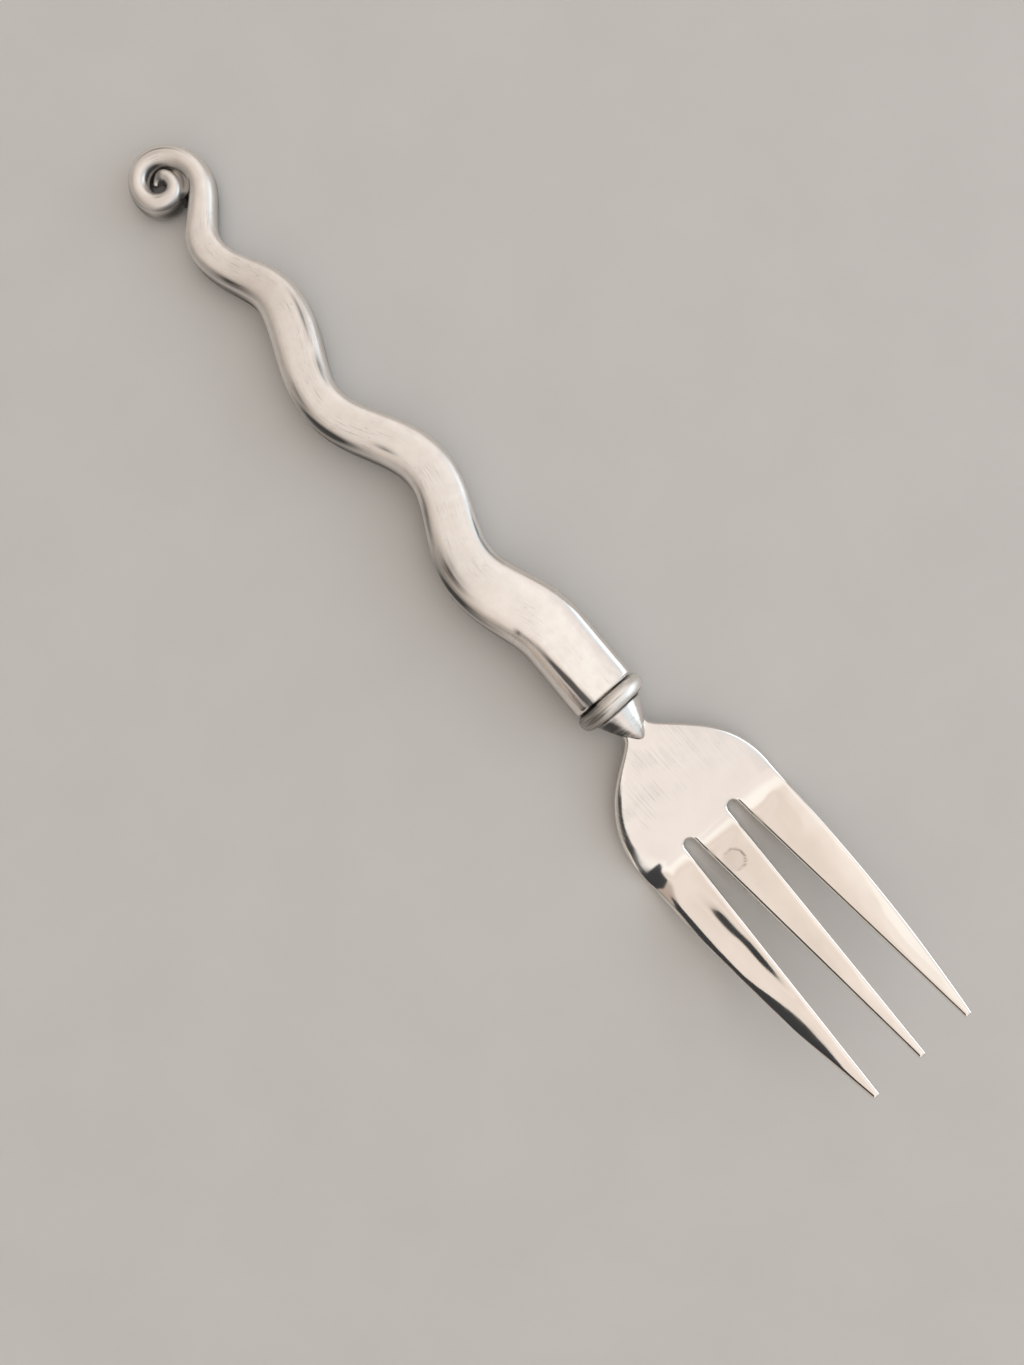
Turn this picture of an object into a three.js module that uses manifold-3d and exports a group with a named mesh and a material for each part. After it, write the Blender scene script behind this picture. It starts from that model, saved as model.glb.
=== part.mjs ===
// Serving fork, lying face up as on a table.
// A stamped steel head with three tines ends in a flat tang. The tang is set with cement in a cast,
// wavy handle with a scroll at its far end, behind a slotted ferrule and a bead collar.
//
// Millimetres, +Z up, +X towards the tine tips. The pieces are drawn with the table at z = 0, the
// tang along the X axis and the ferrule's point near x = 0. The whole fork is then moved so that its
// origin is the middle of its footprint on the table.

import * as THREE from "three";
import { mergeVertices } from "three/addons/utils/BufferGeometryUtils.js";
import Module from "manifold-3d";

// Fits
const clearance = 0.3; // between pieces that are set against each other
const axisHeight = 6.2; // of the tang, the ferrule and the collar above the table

// Steel head, in plan
const palmLength = 25.4; // from the ferrule's point to the slot roots
const tineLength = 64.2;
const headWidth = 40.3;
const widestAt = 24; // where the palm reaches its full width
const headOffset = 1.1; // how far the head was set to one side of the handle's axis
const neckWidth = 6.7;
const neckReach = 3.7; // from the ferrule's point back to where the neck starts to widen
const neckEase = 3.5; // how slowly the neck's sides turn outwards
const shoulderEase = 18; // how slowly the shoulders turn in line with the tines
const edgeEase = 34; // how far the outer edges run straight before they draw in
const slotSpacing = 13.6; // between the slots' middles at their roots
const slotWidth = 2.7; // at the roots
const tipSpacing = 13.3; // between the middles of neighbouring tips
const tipWidth = 2;
const tipCorner = 0.5; // radius of the blunt tips' corners
const tangWidth = 5;
const tangLength = 25; // inside the handle

// Steel head, in profile
const sheetThickness = 2.2;
const tipThickness = 1.5;
const neckBendAt = -2; // where the sheet starts to dip towards the table
const neckBendRadius = 9;
const bellyAt = 27; // where the sheet is lowest
const bellyRadius = 12;
const bellyGap = 0.15; // between the table and the sheet's underside there
const tipHeight = 22.2; // of the tips' upper face

// Ferrule and collar
const ferruleReach = 8.7; // from its flat back to x = 0
const ferruleLength = 9.4; // to the point that its rounded sides run to
const ferruleWidth = 12.4;
const ferruleHeight = 9.6;
const ferruleBulge = 0.73; // 1 is a straight cone, less is rounder
const collarThickness = 4.3;
const collarWidth = 18;
const collarHeight = 13.6;

// Handle
const straightLength = 18; // from its front face to where the waves begin
const straightOffset = 0.5; // off the handle's axis at the end of that part
const firstCrestAt = 40.3; // behind its front face
const waveStep = 26.3; // from one crest to the next on the other side
const waveHeight = 4.2; // of a crest off the handle's axis
const waveCount = 4;
const leadStep = 17.5; // from the last crest to the bend that leads into the scroll
const leadOffset = -0.5; // of that bend off the handle's axis
const leadEase = 6; // how slowly that bend turns into the scroll
const flatAngle = 0.35; // half the flat underside, as an angle round the section
const gripSquareness = 0.5; // 1 is an oval section, less is squarer
const frontRound = 0.8; // of the front face's edge
const gripLength = 24; // of the even part behind the front face
const gripWidth = 16.4;
const gripHeight = 11.4;
const waistAt = 63; // this and the next three places are behind the front face
const waistWidth = 11.7;
const waistHeight = 10.4;
const narrowAt = 93;
const narrowWidth = 10.5;
const narrowHeight = 10;
const swellAt = 110;
const swellWidth = 11.4;
const swellHeight = 9.8;
const shankAt = 134;
const shankWidth = 8.2;
const shankHeight = 7.7;
const grip = [
  { at: 0, width: gripWidth, height: gripHeight },
  { at: gripLength, width: gripWidth, height: gripHeight },
  { at: waistAt, width: waistWidth, height: waistHeight },
  { at: narrowAt, width: narrowWidth, height: narrowHeight },
  { at: swellAt, width: swellWidth, height: swellHeight },
  { at: shankAt, width: shankWidth, height: shankHeight },
];

// Scroll. Its form has one entry for each quarter turn from the shank to the tip, as shares of the
// bar's size at the start.
const scrollAt = 156.7; // its middle, behind the front face
const scrollOffset = 0.6; // its middle off the handle's axis
const scrollStartAngle = 48.5; // degrees
const scrollTipAngle = 490; // degrees turned from the start
const scrollSquareness = 0.8;
const scrollRadius = 10.1; // of the bar's middle line at the start
const scrollWidth = 6.5;
const scrollHeight = 7;
const scrollForm = [
  { radius: 1, width: 1, height: 1 },
  { radius: 0.705, width: 0.846, height: 0.94 },
  { radius: 0.45, width: 0.746, height: 0.91 },
  { radius: 0.416, width: 0.754, height: 0.91 },
  { radius: 0.396, width: 0.63, height: 0.89 },
  { radius: 0.213, width: 0.285, height: 0.83 },
  { radius: 0.149, width: 0.108, height: 0.74 },
];
const webRadius = 6.6; // of the cast web that closes the scroll's middle
const webShift = 0.6; // of the web's middle towards the shank
const webBottom = 0.8;
const webTop = 5;

// Socket in the handle
const cementWall = 1.5; // between the tang and the socket, on every side

// Fineness
const curveSteps = 10;
const roundSteps = 32;
const sectionSteps = 17;
const waveSampleStep = 3.4;
const turnSampleStep = 12.5; // degrees

// Places along the tang
const tipX = palmLength + tineLength;
const ferruleBack = -ferruleReach;
const collarFront = ferruleBack - clearance;
const collarBack = collarFront - collarThickness;
const handleFront = collarBack - clearance;
const tangEnd = handleFront - tangLength;
const ferruleTip = ferruleBack + ferruleLength;
const neckEnd = ferruleTip - neckReach;
const shoulderAt = widestAt - shoulderEase;
const socketEnd = tangEnd - cementWall;
const beyond = 10; // how far a cutting or trimming solid reaches past what it cuts

const wasm = await Module();
wasm.setup();

function toSolid(geometry) {
  const bare = geometry.clone();
  bare.deleteAttribute("normal");
  bare.deleteAttribute("uv");
  const merged = mergeVertices(bare);
  const mesh = new wasm.Mesh({
    numProp: 3,
    vertProperties: new Float32Array(merged.attributes.position.array),
    triVerts: new Uint32Array(merged.index.array),
  });
  return new wasm.Manifold(mesh);
}

function toGeometry(solid) {
  const mesh = solid.getMesh();
  const geometry = new THREE.BufferGeometry();
  geometry.setAttribute("position", new THREE.BufferAttribute(mesh.vertProperties, 3));
  geometry.setIndex(new THREE.BufferAttribute(mesh.triVerts, 1));
  geometry.computeVertexNormals();
  return geometry;
}

function box(low, high) {
  const size = new THREE.Vector3().subVectors(high, low);
  const middle = new THREE.Vector3().addVectors(low, high).multiplyScalar(0.5);
  return new THREE.BoxGeometry(size.x, size.y, size.z).translate(middle.x, middle.y, middle.z);
}

// A box round the tang's axis, between two places along it
function axisBox(fromX, toX, width, height) {
  const low = new THREE.Vector3(fromX, -width / 2, axisHeight - height / 2);
  const high = new THREE.Vector3(toX, width / 2, axisHeight + height / 2);
  return box(low, high);
}

// The head's outline in plan, from the tang's end round one side to the middle tip
function halfOutline() {
  const edge = headWidth / 2;
  const tip = tipWidth / 2;
  const root = slotWidth / 2;
  const quarter = Math.PI / 2;
  const half = new THREE.Path();
  half.moveTo(tangEnd, tangWidth / 2);
  half.lineTo(collarBack, tangWidth / 2);
  half.lineTo(collarBack, neckWidth / 2);
  half.lineTo(neckEnd, neckWidth / 2);
  half.bezierCurveTo(neckEnd + neckEase, neckWidth / 2, shoulderAt, edge, widestAt, edge);
  half.quadraticCurveTo(widestAt + edgeEase, edge, tipX - tipCorner, tipSpacing + tip);
  half.absarc(tipX - tipCorner, tipSpacing + tip - tipCorner, tipCorner, quarter, 0, true);
  half.lineTo(tipX, tipSpacing - tip + tipCorner);
  half.absarc(tipX - tipCorner, tipSpacing - tip + tipCorner, tipCorner, 0, -quarter, true);
  half.lineTo(palmLength + root, slotSpacing / 2 + root);
  half.absarc(palmLength + root, slotSpacing / 2, root, quarter, 3 * quarter, false);
  half.lineTo(tipX - tipCorner, tip);
  half.absarc(tipX - tipCorner, tip - tipCorner, tipCorner, quarter, 0, true);
  half.lineTo(tipX, 0);
  return half.getPoints(curveSteps);
}

// The outline's two halves, moved aside beyond the neck by the head's offset
function headOutline() {
  const half = halfOutline();
  const mirrored = half.slice(0, -1).reverse().map((point) => new THREE.Vector2(point.x, -point.y));
  return [...half, ...mirrored].map((point) => {
    const aside = headOffset * THREE.MathUtils.smoothstep(point.x, neckEnd, shoulderAt);
    return new THREE.Vector2(point.x, point.y - aside);
  });
}

// Where a line from a point touches the belly's circle, which lies above it
function bellyTouch(point, centre, side) {
  const away = new THREE.Vector2().subVectors(centre, point);
  const turn = side * Math.asin(bellyRadius / away.length());
  const reach = Math.sqrt(away.lengthSq() - bellyRadius ** 2);
  return away.normalize().rotateAround(new THREE.Vector2(), turn).multiplyScalar(reach).add(point);
}

function arcPoints(centre, radius, from, to) {
  const start = Math.atan2(from.y - centre.y, from.x - centre.x);
  const end = Math.atan2(to.y - centre.y, to.x - centre.x);
  const points = [];
  for (let i = 0; i <= curveSteps; i++) {
    const angle = THREE.MathUtils.lerp(start, end, i / curveSteps);
    points.push(new THREE.Vector2(Math.cos(angle), Math.sin(angle)).multiplyScalar(radius).add(centre));
  }
  return points;
}

// The sheet's upper face in profile: level tang, dip at the neck, round belly and straight tines
function upperFace(rear) {
  const level = axisHeight + sheetThickness / 2;
  const corner = new THREE.Vector2(neckBendAt, level);
  const tip = new THREE.Vector2(tipX, tipHeight);
  const belly = new THREE.Vector2(bellyAt, bellyGap + sheetThickness + bellyRadius);
  const down = bellyTouch(corner, belly, -1);
  const up = bellyTouch(tip, belly, 1);
  const dip = new THREE.Vector2().subVectors(down, corner).normalize();
  const bend = neckBendRadius * Math.tan(-dip.angle() / 2 + Math.PI);
  const bendStart = new THREE.Vector2(neckBendAt - bend, level);
  const bendEnd = dip.clone().multiplyScalar(bend).add(corner);
  const bendCentre = new THREE.Vector2(bendStart.x, level - neckBendRadius);
  const onward = new THREE.Vector2().subVectors(tip, up).normalize().multiplyScalar(beyond).add(tip);
  return [
    new THREE.Vector2(rear, level),
    ...arcPoints(bendCentre, neckBendRadius, bendStart, bendEnd),
    ...arcPoints(belly, bellyRadius, down, up),
    onward,
  ];
}

function thicknessAt(x) {
  const share = THREE.MathUtils.clamp((x - palmLength) / tineLength, 0, 1);
  return THREE.MathUtils.lerp(sheetThickness, tipThickness, share);
}

// The bent sheet as a strip round the tang's axis, thicker by a margin on each face and at its rear
function sheetStrip(width, margin) {
  const upper = upperFace(tangEnd - margin);
  const lower = upper.map((point) => new THREE.Vector2(point.x, point.y - thicknessAt(point.x) - margin));
  const raised = upper.map((point) => new THREE.Vector2(point.x, point.y + margin));
  const shape = new THREE.Shape([...lower, ...raised.reverse()]);
  const strip = new THREE.ExtrudeGeometry(shape, { depth: width, bevelEnabled: false });
  return strip.rotateX(Math.PI / 2).translate(0, width / 2, 0);
}

function forkHead() {
  const shape = new THREE.Shape(headOutline());
  const prism = new THREE.ExtrudeGeometry(shape, { depth: tipHeight + 2 * beyond, bevelEnabled: false });
  prism.translate(0, 0, -beyond);
  const strip = sheetStrip(headWidth + 2 * (headOffset + beyond), 0);
  return toGeometry(toSolid(prism).intersect(toSolid(strip)));
}

// A turned piece along the tang's axis, made oval, with its back at a place along the axis
function turned(profile, backX, height, width) {
  const points = profile.map(([radius, along]) => new THREE.Vector2(radius, along));
  const lathe = new THREE.LatheGeometry(points, roundSteps);
  lathe.rotateZ(-Math.PI / 2);
  lathe.scale(1, 1, height / width);
  return toSolid(lathe.translate(backX, 0, axisHeight));
}

function neckSlot() {
  return toSolid(sheetStrip(neckWidth + 2 * clearance, clearance));
}

function ferrule() {
  const profile = [[0, 0]];
  for (let i = 0; i < curveSteps; i++) {
    const share = i / curveSteps;
    const radius = (ferruleWidth / 2) * (1 - share) ** ferruleBulge;
    profile.push([radius, share * ferruleLength]);
  }
  profile.push([0, ferruleLength]);
  const cone = turned(profile, ferruleBack, ferruleHeight, ferruleWidth);
  return toGeometry(cone.subtract(neckSlot()));
}

function collarRing() {
  const bead = collarThickness / 2;
  const profile = [[0, 0]];
  for (let i = 0; i <= curveSteps; i++) {
    const angle = (Math.PI * i) / curveSteps;
    profile.push([collarWidth / 2 - bead + bead * Math.sin(angle), bead - bead * Math.cos(angle)]);
  }
  profile.push([0, collarThickness]);
  const ring = turned(profile, collarBack, collarHeight, collarWidth);
  const low = new THREE.Vector3(collarBack - beyond, -collarWidth, -collarHeight);
  const high = new THREE.Vector3(collarFront + beyond, collarWidth, 0);
  const table = toSolid(box(low, high));
  return toGeometry(ring.subtract(neckSlot()).subtract(table));
}

// Width and height of the handle at a distance behind its front face
function gripSize(at) {
  let index = 0;
  while (index < grip.length - 2 && at > grip[index + 1].at) {
    index += 1;
  }
  const near = grip[index];
  const far = grip[index + 1];
  const share = THREE.MathUtils.smoothstep(at, near.at, far.at);
  return {
    width: THREE.MathUtils.lerp(near.width, far.width, share),
    height: THREE.MathUtils.lerp(near.height, far.height, share),
  };
}

// The waves' crests, from the end of the straight part to the bend that leads into the scroll
function waveCrests() {
  const crests = [{ at: straightLength, y: straightOffset }];
  for (let i = 0; i < waveCount; i++) {
    const side = i % 2 === 0 ? -1 : 1;
    crests.push({ at: firstCrestAt + i * waveStep, y: side * waveHeight });
  }
  crests.push({ at: crests[waveCount].at + leadStep, y: leadOffset });
  return crests;
}

// Stations from the front face to the lead bend: half a cosine wave between two crests
function waveStations() {
  const crests = waveCrests();
  const squareness = gripSquareness;
  const stations = [{ x: handleFront, y: 0, squareness, ...gripSize(0) }];
  for (let i = 0; i + 1 < crests.length; i++) {
    const span = crests[i + 1].at - crests[i].at;
    const steps = Math.ceil(span / waveSampleStep);
    for (let j = 0; j < steps; j++) {
      const at = crests[i].at + (span * j) / steps;
      const share = (1 - Math.cos((Math.PI * j) / steps)) / 2;
      const y = THREE.MathUtils.lerp(crests[i].y, crests[i + 1].y, share);
      stations.push({ x: handleFront - at, y, squareness, ...gripSize(at) });
    }
  }
  return stations;
}

// One of the scroll's sizes along its turns
function scrollSpline(key, size) {
  return new THREE.SplineCurve(scrollForm.map((turn, i) => new THREE.Vector2(i, turn[key] * size)));
}

function scrollStations() {
  const radii = scrollSpline("radius", scrollRadius);
  const widths = scrollSpline("width", scrollWidth);
  const heights = scrollSpline("height", scrollHeight);
  const steps = Math.ceil(scrollTipAngle / turnSampleStep);
  const stations = [];
  for (let i = 0; i <= steps; i++) {
    const degrees = (scrollTipAngle * i) / steps;
    const share = degrees / (90 * (scrollForm.length - 1));
    const radius = radii.getPoint(share).y;
    const angle = THREE.MathUtils.degToRad(scrollStartAngle + degrees);
    stations.push({
      x: handleFront - scrollAt + radius * Math.cos(angle),
      y: scrollOffset + radius * Math.sin(angle),
      width: widths.getPoint(share).y,
      height: heights.getPoint(share).y,
      squareness: scrollSquareness,
    });
  }
  return stations;
}

// Stations of the bend between the last wave and the scroll
function leadStations(scrollStart, scrollNext) {
  const bend = waveCrests().at(-1);
  const from = new THREE.Vector2(handleFront - bend.at, bend.y);
  const to = new THREE.Vector2(scrollStart.x, scrollStart.y);
  const heading = new THREE.Vector2(scrollNext.x, scrollNext.y).sub(to).normalize();
  const curve = new THREE.CubicBezierCurve(
    from,
    new THREE.Vector2(from.x - leadEase, from.y),
    to.clone().addScaledVector(heading, -leadEase),
    to,
  );
  const size = gripSize(bend.at);
  const steps = Math.ceil(curve.getLength() / waveSampleStep);
  const stations = [];
  for (let i = 0; i < steps; i++) {
    const point = curve.getPoint(i / steps);
    const share = THREE.MathUtils.smoothstep(i / steps, 0, 1);
    stations.push({
      x: point.x,
      y: point.y,
      width: THREE.MathUtils.lerp(size.width, scrollStart.width, share),
      height: THREE.MathUtils.lerp(size.height, scrollStart.height, share),
      squareness: THREE.MathUtils.lerp(gripSquareness, scrollSquareness, share),
    });
  }
  return stations;
}

// Part of the way from a circle's sine or cosine to a square's
function squared(value, squareness) {
  return Math.sign(value) * Math.abs(value) ** squareness;
}

// One section of the handle: an oval, a little squared, that stands on its flat underside.
// shrink draws it in evenly for the rounded ends.
function sectionRing(station, heading, shrink) {
  const acrossX = -heading.y;
  const acrossY = heading.x;
  const halfHeight = station.height / (1 + squared(Math.cos(flatAngle), station.squareness));
  const ring = [];
  for (let i = 0; i <= sectionSteps; i++) {
    const angle = THREE.MathUtils.lerp(flatAngle, 2 * Math.PI - flatAngle, i / sectionSteps);
    const across = (station.width / 2 - shrink) * squared(Math.sin(angle), station.squareness);
    const rise = (halfHeight - shrink) * squared(Math.cos(angle), station.squareness);
    const up = station.height - halfHeight - rise;
    ring.push(new THREE.Vector3(station.x + across * acrossX, station.y + across * acrossY, up));
  }
  return ring;
}

// A closed skin over a row of rings, with a fan over each end
function skin(rings) {
  const size = rings[0].length;
  const points = rings.flat();
  const faces = [];
  for (let i = 0; i + 1 < rings.length; i++) {
    for (let j = 0; j < size; j++) {
      const a = i * size + j;
      const b = i * size + ((j + 1) % size);
      faces.push(a, b, a + size, b, b + size, a + size);
    }
  }
  const last = (rings.length - 1) * size;
  for (const [ring, first] of [[rings[0], 0], [rings.at(-1), last]]) {
    const middle = new THREE.Vector3();
    ring.forEach((point) => middle.add(point));
    points.push(middle.divideScalar(size));
    for (let j = 0; j < size; j++) {
      const a = first + j;
      const b = first + ((j + 1) % size);
      faces.push(points.length - 1, first === 0 ? b : a, first === 0 ? a : b);
    }
  }
  const geometry = new THREE.BufferGeometry().setFromPoints(points);
  geometry.setIndex(faces);
  return geometry;
}

function handleRings() {
  const curl = scrollStations();
  const stations = [...waveStations(), ...leadStations(curl[0], curl[1]), ...curl];
  const rings = stations.map((station, i) => {
    const before = stations[Math.max(i - 1, 0)];
    const after = stations[Math.min(i + 1, stations.length - 1)];
    const heading = new THREE.Vector2(after.x - before.x, after.y - before.y).normalize();
    return sectionRing(station, heading, 0);
  });
  const front = stations[0];
  const ahead = new THREE.Vector2(-1, 0);
  rings[0] = sectionRing({ ...front, x: front.x - frontRound }, ahead, 0);
  rings.unshift(sectionRing(front, ahead, frontRound));
  return rings;
}

function handle() {
  const cast = toSolid(skin(handleRings()));
  const web = new THREE.CylinderGeometry(webRadius, webRadius, webTop - webBottom, roundSteps);
  web.rotateX(Math.PI / 2);
  web.translate(handleFront - scrollAt, scrollOffset + webShift, (webTop + webBottom) / 2);
  const width = tangWidth + 2 * cementWall;
  const height = sheetThickness + 2 * cementWall;
  const socket = axisBox(socketEnd, handleFront + beyond, width, height);
  return toGeometry(cast.add(toSolid(web)).subtract(toSolid(socket)));
}

function tangCement() {
  const wall = cementWall - clearance;
  const width = tangWidth + 2 * wall;
  const height = sheetThickness + 2 * wall;
  const fill = axisBox(socketEnd + clearance, handleFront - clearance, width, height);
  const slot = sheetStrip(tangWidth + 2 * clearance, clearance);
  return toGeometry(toSolid(fill).subtract(toSolid(slot)));
}

function metal(color, roughness) {
  return new THREE.MeshStandardMaterial({ color, roughness, metalness: 1 });
}

const steel = metal(0xdcd6d0, 0.2);
const castMetal = metal(0xcdc6bb, 0.4);
const wornMetal = metal(0xa8a49c, 0.45);
const cement = new THREE.MeshStandardMaterial({ color: 0x8d877c, roughness: 0.9, metalness: 0 });

const fork = new THREE.Group();
function addPiece(name, geometry, material) {
  const piece = new THREE.Mesh(geometry, material);
  piece.name = name;
  fork.add(piece);
}

addPiece("fork_head", forkHead(), steel);
addPiece("ferrule", ferrule(), castMetal);
addPiece("collar_ring", collarRing(), wornMetal);
addPiece("handle", handle(), castMetal);
addPiece("tang_cement", tangCement(), cement);

// Move the fork so that its origin is the middle of its footprint on the table
const bounds = new THREE.Box3().setFromObject(fork);
const footprint = bounds.getCenter(new THREE.Vector3());
fork.position.set(-footprint.x, -footprint.y, -bounds.min.z);

export default fork;
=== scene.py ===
import math

import bpy
import numpy as np
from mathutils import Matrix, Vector, noise


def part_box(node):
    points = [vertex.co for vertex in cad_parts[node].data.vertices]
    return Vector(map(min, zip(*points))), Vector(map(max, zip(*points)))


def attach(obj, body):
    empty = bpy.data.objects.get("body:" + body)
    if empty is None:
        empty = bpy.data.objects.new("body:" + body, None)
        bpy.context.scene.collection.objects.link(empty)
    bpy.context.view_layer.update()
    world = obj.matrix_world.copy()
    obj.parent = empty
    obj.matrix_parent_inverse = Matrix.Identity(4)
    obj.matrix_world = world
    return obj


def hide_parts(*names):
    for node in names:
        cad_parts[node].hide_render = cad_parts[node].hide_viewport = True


# A serving fork that lies face up: steel head, slotted ferrule, bead collar and cast handle.
# Sizes are in millimetres and become metres when a mesh is made. The meshes are worked out with the
# table at z = 0, the tang along the X axis and the ferrule's point near x = 0, and then moved.

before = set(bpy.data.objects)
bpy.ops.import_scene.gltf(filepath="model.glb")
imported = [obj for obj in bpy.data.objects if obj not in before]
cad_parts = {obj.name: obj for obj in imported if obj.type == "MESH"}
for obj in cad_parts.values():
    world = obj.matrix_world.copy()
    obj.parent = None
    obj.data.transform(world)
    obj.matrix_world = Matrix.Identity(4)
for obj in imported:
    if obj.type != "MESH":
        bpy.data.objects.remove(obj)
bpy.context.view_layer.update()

MM = 0.001
SHARP_ANGLE = math.radians(40)  # edges that are bent more than this stay sharp

# Fits
CLEARANCE = 0.3
AXIS_HEIGHT = 6.2

# Steel head in plan
PALM_LENGTH = 25.4
TINE_LENGTH = 64.2
HEAD_WIDTH = 40.3
WIDEST_AT = 24
HEAD_OFFSET = 1.1
NECK_WIDTH = 6.7
NECK_REACH = 3.7
NECK_EASE = 3.5
SHOULDER_EASE = 18
EDGE_EASE = 34
SLOT_SPACING = 13.6
SLOT_WIDTH = 2.7
TIP_SPACING = 13.3
TIP_WIDTH = 2
TIP_CORNER = 0.5
TANG_WIDTH = 5
TANG_LENGTH = 25

# Steel head in profile
SHEET = 2.2
TIP_SHEET = 1.5
NECK_BEND_AT = -2
NECK_BEND_RADIUS = 9
BELLY_AT = 27
BELLY_RADIUS = 12
BELLY_GAP = 0.15
TIP_HEIGHT = 22.2

# Steel head's surface
RIM = 0.9  # width of the rounded edges
RIM_SHARE = 0.45  # most of a tine's width that one rounded edge may take
CROWN = 0.12  # how far the sides of a tine with a half width of CROWN_WIDTH lie below its middle
CROWN_WIDTH = 5
CROWN_FADE = (24, 36)  # the stretch over which the crown grows
CREASES = {-1: 26.1, 0: 27.0, 1: 28.6}  # where the tines are bent up, from one side to the other
TROUGH_LENGTH = 5.5
TROUGH_DEPTH = 0.16
TROUGH_FADE = (13, 17)  # where the outer tines' troughs end, off the axis
# Strip that is ground down along the outer edges: place along the head, breadth and depth
EDGE_STRIP = np.array([
    (0, 1.6, 0.6),
    (12, 1.8, 0.8),
    (17, 2.2, 0.7),
    (25, 6.4, 1),
    (36, 1.7, 0.34),
    (54, 1.2, 0.24),
    (70, 3.6, 0.62),
    (86, 0.8, 0.1),
])
EDGE_CURVE = 1.4  # power of the strip's slope
# The other side's strip: its depth, as a share of this one's, and how much that grows over a stretch
FAR_EDGE = 0.1
FAR_EDGE_GAIN = 0.2
FAR_EDGE_FADE = (40, 60)
# Hollow of one outer tine: place along the head, depth, and its slope's start and end across the tine
HOLLOW = np.array([
    (31, 0, 0.4, 0.75),
    (44, 0.46, 0.5, 0.84),
    (52, 0.42, 0.6, 0.88),
    (70, 0, 0.7, 0.92),
])
DENT_AT = (35.5, -1.5)
DENT_RADIUS = 2.4
DENT_DEPTH = 0.07
DENT_LINE = 0.2  # breadth of the dark line round it
DENT_SWING = (0.55, 0.45)  # that line's strength, and how much it swings round the dent as painted shade, lighter on one side and darker on the other
DENT_TONE = 0.16  # how dark the dent is inside
# Unevenness of the polish: depth, size of its bumps and shift of its pattern
POLISH = [(0.07, 9, 3), (0.025, 4, 8)]
POLISH_RISE = 0.02  # how far it may rise
RELIEF_FADE = (0, 10)  # the stretch of the neck over which the relief grows
BRUSHED_FADE = (12, 27)  # the stretch over which the brushed palm turns into polished tines
BRUSHED_LOSS = 0.85

# Ferrule and collar
FERRULE_REACH = 8.7
FERRULE_LENGTH = 9.4
FERRULE_WIDTH = 12.4
FERRULE_HEIGHT = 9.6
FERRULE_BULGE = 0.73
COLLAR_THICKNESS = 4.3
COLLAR_WIDTH = 18
COLLAR_HEIGHT = 13.6
# Painted shade on the flanks of both, stronger on one side: side, angles from the top between which it
# grows, in radians, and strength
SIDE_PAINTED_SHADE = [(-1, 0.3, 0.9, 0.85), (1, 1.3, 1.8, 0.4)]
SEAM_PATINA = 0.8
SEAM_BREADTH = 0.2

# Handle
STRAIGHT_LENGTH = 18
STRAIGHT_OFFSET = 0.5
FIRST_CREST_AT = 40.3
WAVE_STEP = 26.3
WAVE_HEIGHT = 4.2
WAVE_COUNT = 4
LEAD_STEP = 17.5
LEAD_OFFSET = -0.5
LEAD_EASE = 6
FLAT_ANGLE = 0.35
GRIP_SQUARENESS = 0.5
FRONT_ROUND = 0.8
CEMENT_WALL = 1.5
# Unevenness of the cast surface: depth, and each pattern's share, size of its bumps and shift
LUMP = 0.08
LUMPS = [(1, 13, 0), (0.25, 5, 7)]
LUMP_START = (2, 10)  # stretches behind the front face where it grows and fades
LUMP_END = (125, 140)
LUMP_RISE = (1.5, 4)  # heights between which it grows
# Painted dark reflection, a streak behind the collar: its length, and where and how broad it is across,
# from -1 to 1
STREAK_LENGTH = 27
STREAK_AT = 0.63
STREAK_SHIFT = 0.13  # towards the middle, at the collar
STREAK_BREADTH = 0.05
STREAK_FLARE = 0.07  # how much broader it is at the collar
# Strength that the streak gains, and the shares of its length, from its far end, between which it does
STREAK_GAINS = [(0.45, 0, 0.1), (0.55, 0.3, 0.7)]
# Painted shade on the underside: where it grows, from -1 below to 1 above, and its strength on both
# sides
UNDERSIDE_FADE = (-0.1, 0.6)
UNDERSIDE_PAINTED_SHADE = (0.85, 0.45)
# Patina: distance behind the front face, place across from -1 to 1, length, breadth and strength
MARKS = [
    (25, 0.63, 1.2, 0.06, 0.9),
    (44, 0.62, 5, 0.22, 0.7),
    (40, 0.88, 9, 0.1, 1),
    (57, 0.8, 7, 0.07, 0.9),
    (48, -0.82, 8, 0.05, 0.9),
    (78, 0.45, 3, 0.1, 0.6),
    (92, 0.85, 8, 0.12, 1),
    (100, 0.6, 4, 0.12, 0.6),
    (104, -0.7, 4, 0.1, 0.7),
    (117, -0.6, 5, 0.1, 0.7),
    (136, 0.75, 7, 0.14, 0.9),
]
# Distance behind the front face, width and height
GRIP = np.array([
    (0, 16.4, 11.4),
    (24, 16.4, 11.4),
    (63, 11.7, 10.4),
    (93, 10.5, 10),
    (110, 11.4, 9.8),
    (134, 8.2, 7.7),
])

# Scroll
SCROLL_AT = 156.66
SCROLL_OFFSET = 0.6
SCROLL_START = math.radians(48.5)
SCROLL_TURN = math.radians(490)
SCROLL_SQUARENESS = 0.8
SCROLL_RADIUS = 10.1
SCROLL_WIDTH = 6.5
SCROLL_HEIGHT = 7
# Radius, width and height at each quarter turn, as shares of the sizes at the start
SCROLL_FORM = np.array([
    (1, 1, 1),
    (0.705, 0.846, 0.94),
    (0.45, 0.746, 0.91),
    (0.36, 0.785, 0.91),
    (0.375, 0.635, 0.89),
    (0.29, 0.43, 0.83),
    (0.05, 0.02, 0.74),
])
TIP_SINK = 0.38  # share of its height that the bar loses at its end
TIP_SINK_TURN = math.radians(65)
TIP_REACH = 0.3  # share of the bar's width that its round end adds to its length
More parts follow.
